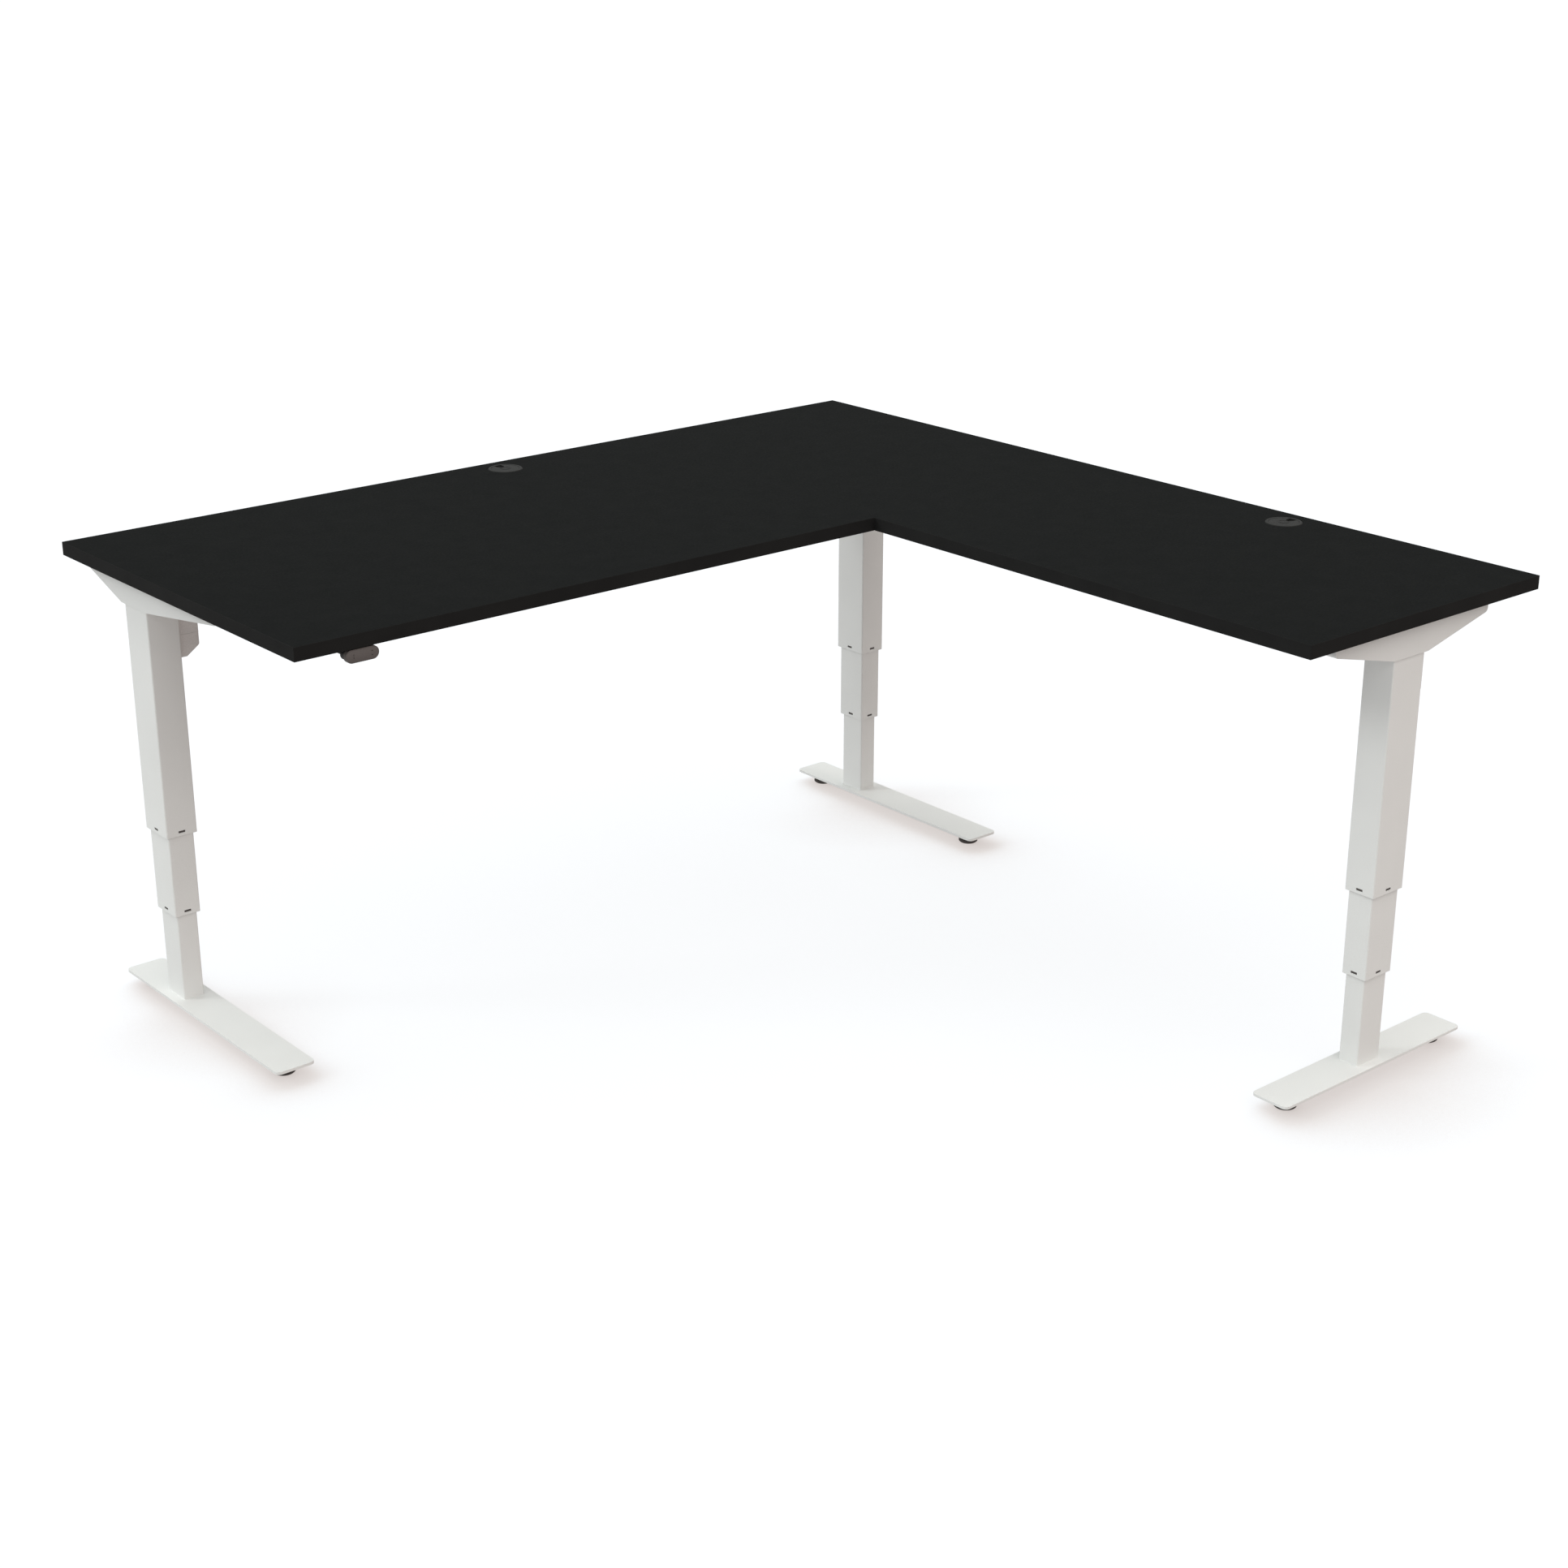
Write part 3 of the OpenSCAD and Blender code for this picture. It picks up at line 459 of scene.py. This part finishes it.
# ---------- screws ----------
def islands(node):
    """The separate solids of a CAD node, each as a list of its points."""
    bm = bmesh.new()
    bm.from_mesh(frame["nodes"][node].data)
    bmesh.ops.remove_doubles(bm, verts=bm.verts, dist=WELD)
    todo, found = set(bm.verts), []
    while todo:
        group, edge = [], [todo.pop()]
        while edge:
            v = edge.pop()
            group.append(v.co.copy())
            for e in v.link_edges:
                w = e.other_vert(v)
                if w in todo:
                    todo.remove(w)
                    edge.append(w)
        found.append(group)
    bm.free()
    return sorted(found, key=lambda g: tuple(round(c, 4) for c in sum(g, Vector()) / len(g)))


def fitting_of(points):
    """How a screw lies: a matrix with Z from tip to head, its length, its head's and shank's radius."""
    low = Vector(map(min, *points))
    high = Vector(map(max, *points))
    size = high - low
    centre = (low + high) / 2
    # A screw is as wide as it is thick, so its axis is the side that differs most from the others
    axis = max(range(3), key=lambda k: abs(size[k] - size[k - 1]) + abs(size[k] - size[k - 2]))

    def radius_at(level):
        rim = [p - centre for p in points if abs(p[axis] - level) < 1e-4]
        return max(hypot(p[axis - 1], p[axis - 2]) for p in rim)

    at_low, at_high = radius_at(low[axis]), radius_at(high[axis])
    aim = Vector((0, 0, 0))
    aim[axis] = 1 if at_high > at_low else -1
    tip = centre - aim * size[axis] / 2
    place = Matrix.Translation(tip) @ aim.to_track_quat("Z", "Y").to_matrix().to_4x4()
    return place, size[axis], max(at_low, at_high), min(at_low, at_high)


def thread(core, depth, pitch, low, high, steps=20, per_turn=6):
    """Rings of a shank from low to high, with a thread that fades out at both ends."""
    loops = []
    count = max(2, round((high - low) / pitch * per_turn))
    for k in range(count + 1):
        z = low + (high - low) * k / count
        fade = min(1, (z - low) / pitch, (high - z) / pitch)
        loop = []
        for a in (2 * pi * i / steps for i in range(steps)):
            r = core + depth * fade * (0.5 + 0.5 * cos(2 * pi * (z / pitch) - a))
            loop.append((r * cos(a), r * sin(a), z))
        loops.append(loop)
    return loops


def screw(bm, points, head_h, pitch):
    """A pan-head screw with a hexagon socket and a threaded shank, in the place of a CAD screw."""
    place, length, head_r, shank_r = fitting_of(points)
    neck, steps = length - head_h, 24
    loops = [circle(shank_r * 0.55, 0, steps)]
    loops += thread(shank_r * 0.86, shank_r * 0.12, pitch, shank_r * 0.4, neck, steps, 5)
    loops += [
        circle(head_r * 0.97, neck, steps),
        circle(head_r, neck + head_h * 0.12, steps),
        circle(head_r, neck + head_h * 0.45, steps),
        circle(head_r * 0.93, neck + head_h * 0.78, steps),
        circle(head_r * 0.78, neck + head_h * 0.96, steps),
        circle(head_r * 0.60, length, steps),
        circle(head_r * 0.50, length, steps, hexagon),
        circle(head_r * 0.47, length - head_h * 0.15, steps, hexagon),
        circle(head_r * 0.46, length - head_h * 0.62, steps, hexagon),
    ]
    skin(bm, loops, place)


def screws(node, head_h, pitch):
    """All the screws of a CAD node, as one piece."""
    bm = bmesh.new()
    for points in islands(node):
        screw(bm, points, head_h, pitch)
    piece(bm, node + "_piece", SLOT_OF[node], BODY_OF[node], [node])


# ---------- feet and glides ----------
GLIDE_RIBS = 36
GLIDE_H = 0.010
STEM_R = 0.0040
STEM_PITCH = 0.00125
TUBE_R = 0.003
WELD_SIZE = 0.0014
WELD_SUNK = 0.0003


def glide(node):
    """A levelling glide: ribbed grip, soft pad underneath and a threaded steel stem."""
    low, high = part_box(node)
    r = (high.x - low.x) / 2
    place = Matrix.Translation(((low.x + high.x) / 2, (low.y + high.y) / 2, low.z))

    def ribs(a):
        return 1 - 0.045 * (0.5 - 0.5 * cos(GLIDE_RIBS * a))

    # Each ring's share of the radius, its height and its ribs
    profile = [
        (0.80, 0.0000, None),
        (0.86, 0.0000, None),
        (0.90, 0.0006, None),
        (0.905, 0.0012, None),
        (0.94, 0.0014, None),
        (0.985, 0.0020, ribs),
        (1.0, 0.0026, ribs),
        (1.0, 0.0056, ribs),
        (0.97, 0.0066, ribs),
        (0.90, 0.0074, None),
        (0.76, 0.0088, None),
        (0.50, 0.0096, None),
        (0.44, GLIDE_H, None),
        (0.18, GLIDE_H, None),
    ]
    bm = bmesh.new()
    skin(bm, [circle(r * k, z, GLIDE_RIBS * 6, ripple) for k, z, ripple in profile], place)
    piece(bm, node + "_piece", "glide_plastic", node, [node])

    stem_top = high.z - low.z
    loops = [circle(STEM_R * 0.9, GLIDE_H - 0.0005, 20)]
    loops += thread(STEM_R * 0.84, STEM_R * 0.15, STEM_PITCH, GLIDE_H, stem_top - 0.0006)
    loops.append(circle(STEM_R * 0.7, stem_top, 20))
    bm = bmesh.new()
    skin(bm, loops, place)
    piece(bm, node + "_stem", "steel", node)


def column_weld(leg):
    """The rippled weld between a column's lowest tube and its foot, under the paint."""
    low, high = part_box(leg + "_low_tube")
    half = (high - low) / 2
    centre = middle(leg + "_low_tube")

    def bead(i):
        s = WELD_SIZE * (1 + 0.10 * sin(i * 1.3))
        curve = [(s, 0.0), (0.45 * s, 0.22 * s), (0.2 * s, 0.5 * s), (0.0, s)]
        return [(-WELD_SUNK, 0.0), *curve, (-WELD_SUNK, s)]

    path = rounded(half.x, half.y, TUBE_R, 0, straight=48)
    bm = bmesh.new()
    swept(bm, path, bead, Matrix.Translation((centre.x, centre.y, low.z)))
    piece(bm, leg + "_column_weld", "white_steel", leg + "_foot")


# ---------- handset ----------
# Turns Z to face the user, along -Y
FACE_OUT = Matrix.Rotation(radians(90), 4, "X")
FILM_RIM = 0.0013
FILM_H = 0.0004
MARK_H = 0.00016


def handset_membrane():
    """The pill-shaped key film on the paddle's front, with raised up and down marks."""
    low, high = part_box("handset_paddle")
    centre = middle("handset_paddle")
    width, height = high.x - low.x, high.z - low.z
    place = Matrix.Translation((centre.x, low.y, centre.z)) @ FACE_OUT
    bm = bmesh.new()
    pill(bm, width - 2 * FILM_RIM, height - 2 * FILM_RIM, FILM_H, place, 0.6)
    piece(bm, "handset_membrane", "handset_face", "handset_paddle")

    bm = bmesh.new()
    for side, turn in ((1, 0), (-1, pi)):
        mark = place @ Matrix.Translation((width * 0.29, side * height * 0.17, FILM_H))
        arrow(bm, 0.0034, MARK_H, mark @ Matrix.Rotation(turn, 4, "Z"))
    for side in (1, -1):
        bar = place @ Matrix.Translation((-width * 0.27, side * height * 0.10, FILM_H))
        pill(bm, 0.0030, 0.0010, MARK_H, bar @ Matrix.Rotation(pi / 2, 4, "Z"))
    piece(bm, "handset_marks", "black_plastic", "handset_paddle")


def arrow(bm, size, height, place):
    """A raised chevron that points along Y."""
    outline = [(-1, -0.55), (-0.72, -0.83), (0, -0.1), (0.72, -0.83), (1, -0.55), (0, 0.5)]
    half = size / 2
    loops = [[(x * k, y * k, z) for x, y in outline] for k, z in ((half, 0), (half * 0.96, height))]
    skin(bm, loops, place)


# ---------- under the worktop ----------
COVER_R = 0.006
SEAM_UP = 0.040
SEAM_PROUD = 0.0002


def control_box_trim():
    """Louvres, a status lamp and snap ribs on the control box."""
    low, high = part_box("control_box")
    centre = middle("control_box")
    under = Matrix.Translation((centre.x, centre.y, low.z)) @ Matrix.Rotation(pi, 4, "X")
    along = Matrix.Rotation(pi / 2, 4, "Z")
    bm = bmesh.new()
    for i in range(-6, 7):
        pill(bm, 0.062, 0.0024, 0.0008, under @ Matrix.Translation((i * 0.0065, 0.012, 0)) @ along)
    for side in (-1, 1):
        pill(bm, 0.086, 0.0030, 0.0010, under @ Matrix.Translation((side * 0.110, 0, 0)) @ along)
    piece(bm, "control_box_louvres", "black_plastic", "desk_top")
    bm = bmesh.new()
    lamp = Matrix.Translation((high.x - 0.020, low.y, centre.z)) @ FACE_OUT
    skin(bm, [circle(0.0022, 0, 24), circle(0.0022, 0.0005, 24), circle(0.0012, 0.0010, 24)], lamp)
    piece(bm, "control_box_lamp", "socket_plastic", "desk_top")


def motor_cover_seam(leg):
    """The raised parting line round a motor cover, where its two mouldings meet."""
    low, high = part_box(leg + "_motor_cover")
    half = (high - low) / 2
    centre = middle(leg + "_motor_cover")
    section = [(-0.0004, -0.0007), (0.0002, -0.0004), (0.0002, 0.0004), (-0.0004, 0.0007)]
    path = rounded(half.x + SEAM_PROUD, half.y + SEAM_PROUD, COVER_R, 0)
    bm = bmesh.new()
    swept(bm, path, lambda i: section, Matrix.Translation((centre.x, centre.y, low.z + SEAM_UP)))
    piece(bm, leg + "_motor_cover_seam", "cover_plastic", "desk_top")


def grommet_rings(which):
    """Two low grip rings on a grommet's lid."""
    node = which + "_grommet_lid"
    low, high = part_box(node)
    # The cable notch shortens the lid along one axis, so its radius comes from the other
    r = (high.x - low.x) / 2 if which == "main" else (high.y - low.y) / 2
    sleeve = middle(which + "_grommet_sleeve")
    place = Matrix.Translation((sleeve.x, sleeve.y, high.z))
    # Points of the ring's section: share of the radius and height
    section = ((0, -0.0002), (0.018, -0.0002), (0.014, 0.00025), (0.004, 0.00025))
    steps = 64
    bm = bmesh.new()
    for share in (0.30, 0.36):
        loops = []
        for a in (2 * pi * i / steps for i in range(steps)):
            loops.append([(r * (share + k) * cos(a), r * (share + k) * sin(a), h) for k, h in section])
        skin(bm, loops, place, closed=True)
    bmesh.ops.recalc_face_normals(bm, faces=bm.faces)
    piece(bm, which + "_grommet_rings", "grommet", node)


# ---------- studio ----------
FLOOR_R = 120
FLOOR_BASE = -0.02
FLOOR_TOP = -0.0002
# The side of the sky whose hiding by the feet paints shade on the floor, and how far off the feet are
# noticed
KEY_SIDE = (0.15, 0.94, 0.30)
PAINTED_SHADE_REACH = 0.30
# The floor's glow by the share of that side which it sees: its even pale tone in the open, and painted
# warm shade where the feet hide that side
FLOOR_PAINTED_SHADE = [
    (0.10, (0.56, 0.51, 0.485)),
    (0.42, (0.64, 0.595, 0.57)),
    (0.76, (0.87, 0.89, 0.905)),
]
# Light from straight below (0) past the horizon (0.5) to straight above (1)
SKY = [
    (0.40, (0.57, 0.57, 0.565)),
    (0.50, (0.50, 0.50, 0.495)),
    (0.62, (0.53, 0.535, 0.53)),
    (0.80, (1.04, 1.09, 1.07)),
    (1.00, (1.24, 1.28, 1.26)),
]
# Where the light is dimmer and warmer, and how much of each colour is left of it
USER_SIDE = (0.55, -0.83, 0.0)
USER_LIGHT = (0.87, 0.78, 0.745)
# Each sun's aim, strength, angle and colour
SUNS = {
    "key": ((0.62, -0.45, -0.44), 0.64, 15, (0.98, 1.0, 0.98)),
    "user_side": ((0.10, 1.0, -0.90), 0.44, 50, (1.0, 0.97, 0.95)),
}


def floor():
    """A pale studio floor that glows a little, with painted warm shade in front of the feet that the
    lamps do not cast.
    """
    bm = bmesh.new()
    skin(bm, [circle(FLOOR_R, FLOOR_BASE, 96), circle(FLOOR_R, FLOOR_TOP, 96)])
    material, tree, shader, where = surface("floor_finish", specular=0.0)
    drift = noise(tree, where, 0.8, 2)
    tone = ramp(tree, drift, [(0.3, (0.19, 0.20, 0.215)), (0.7, (0.20, 0.21, 0.225))])
    finish_surface(tree, shader, tone, spread(tree, drift, 0.85, 0.95), drift, 0.02, 0.001)
    side = add(tree, "CombineXYZ", dict(zip("XYZ", KEY_SIDE))).outputs["Vector"]
    reach = {"Distance": PAINTED_SHADE_REACH, "Normal": side}
    # Painted shade: the glow dims where nearby parts hide the key side of the sky, standing in for cast
    # shadow
    open_sky = add(tree, "AmbientOcclusion", reach, samples=20)
    painted_shade_glow = ramp(tree, open_sky.outputs["AO"], FLOOR_PAINTED_SHADE)
    tree.links.new(painted_shade_glow, shader.inputs["Emission Color"])
    shader.inputs["Emission Strength"].default_value = 1.0
    made = solid(bm, "floor", material)
    made.visible_diffuse = False
    made.visible_glossy = False


def sky():
    """Soft light all round: white from above, dimmer from below and warmer from the user's side."""
    world = bpy.data.worlds.new("studio")
    world.use_nodes = True
    bpy.context.scene.world = world
    tree = world.node_tree
    aim = add(tree, "TexCoord").outputs["Generated"]
    height = add(tree, "SeparateXYZ", {"Vector": aim}).outputs["Z"]
    side = add(tree, "VectorMath", {0: aim, 1: USER_SIDE}, operation="DOT_PRODUCT").outputs["Value"]
    up = add(tree, "MapRange", {"Value": height, "From Min": -1.0, "From Max": 1.0})
    user = add(tree, "MapRange", {"Value": side, "From Min": -0.1, "From Max": 0.7})
    level = ramp(tree, up.outputs["Result"], SKY)
    tint = ramp(tree, user.outputs["Result"], [(0.0, (1.0, 1.0, 1.0)), (1.0, USER_LIGHT)])
    light = blend(tree, "MULTIPLY", level, tint)
    seen = add(tree, "LightPath").outputs["Is Camera Ray"]
    white = (1, 1, 1, 1)
    shown = add(tree, "MixRGB", {"Fac": seen, "Color1": light, "Color2": white}).outputs["Color"]
    tree.links.new(shown, tree.nodes["Background"].inputs["Color"])


def sun(name, aim, strength, angle, colour):
    """A soft sun that shines along aim."""
    light = bpy.data.lights.new(name, "SUN")
    light.energy = strength
    light.angle = radians(angle)
    light.color = colour
    made = placed(name, light)
    made.rotation_mode = "QUATERNION"
    made.rotation_quaternion = Vector(aim).to_track_quat("-Z", "Y")


# The photograph's lens in millimetres, its place, and how far it looks down and right of +Y
LENS = 58.34
CAMERA_AT = (-2.7233, -3.2190, 2.0418)
LOOK_DOWN = 20.80
LOOK_RIGHT = 40.23


def camera():
    """The photograph's viewpoint: outside the left front corner, looking slightly down."""
    data = bpy.data.cameras.new("camera")
    data.lens = LENS
    data.sensor_width = 36
    data.clip_end = 400
    made = placed("camera", data)
    made.location = CAMERA_AT
    made.rotation_euler = (radians(90 - LOOK_DOWN), 0, -radians(LOOK_RIGHT))
    bpy.context.scene.camera = made


# ---------- assembly ----------
# Head height and thread pitch
SCREW_NODES = {"worktop_screws": (0.0026, 0.0011), "frame_bolts": (0.003, 0.001)}

for node in SLOT_OF:
    if node in SCREW_NODES:
        screws(node, *SCREW_NODES[node])
    elif node.endswith("_glide"):
        glide(node)
    else:
        refined(node)
for leg in ("left", "corner", "return"):
    column_weld(leg)
    motor_cover_seam(leg)
handset_membrane()
control_box_trim()
for which in ("main", "return"):
    grommet_rings(which)

floor()
sky()
for name, settings in SUNS.items():
    sun(name, *settings)
camera()
bpy.context.scene.view_settings.view_transform = "Standard"
